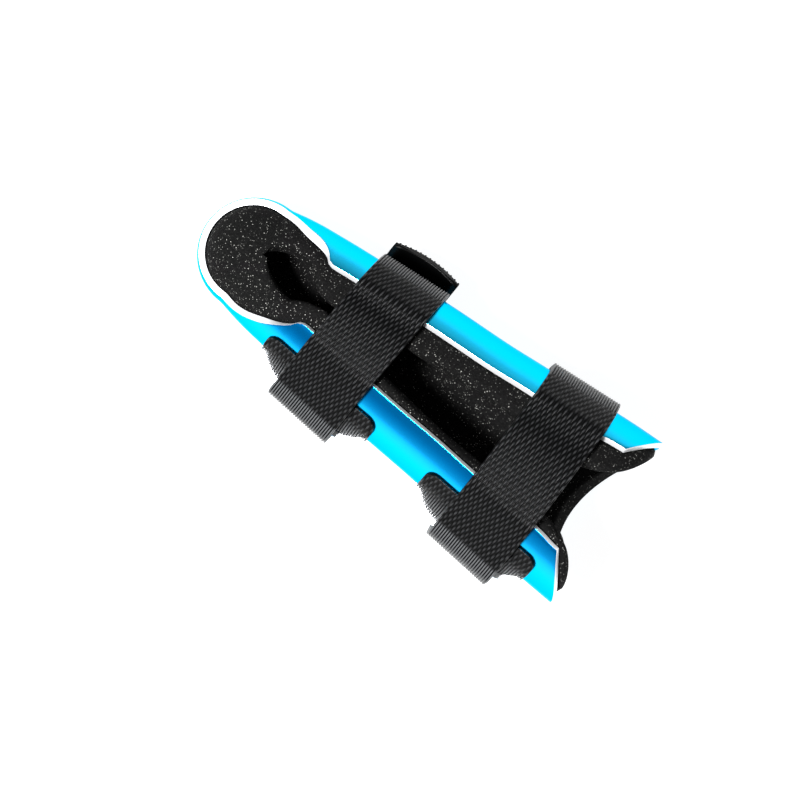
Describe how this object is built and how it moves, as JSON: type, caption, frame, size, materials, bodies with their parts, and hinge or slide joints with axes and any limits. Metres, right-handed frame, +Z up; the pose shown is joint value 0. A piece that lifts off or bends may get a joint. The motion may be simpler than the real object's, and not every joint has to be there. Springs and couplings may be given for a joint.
{
  "type": "finger splint",
  "caption": "Trough-shaped sheet metal finger splint with a cupped tip, sponge lining and webbing straps over belt-loop bridges.",
  "frame": {"origin": "on the surface the splint lies on, below the middle of its bounding box", "axes": "+X from the cupped tip to the base, +Z up out of the open side, +Y to the side away from the belt-loop bridges"},
  "size_m": [0.0854, 0.04, 0.0341],
  "materials": {
    "anodised_sheet": "glossy blue anodised sheet with bare silver cut edges",
    "sponge": "open-cell black sponge with fine light specks",
    "webbing": "black twill webbing with a soft sheen, ribbed at its folds"
  },
  "bodies": {
    "root": {"shell": "anodised_sheet", "foam_liner": "sponge", "strap_distal": "webbing", "strap_proximal": "webbing", "web_distal": "webbing", "web_proximal": "webbing"}
  },
  "joints": []
}
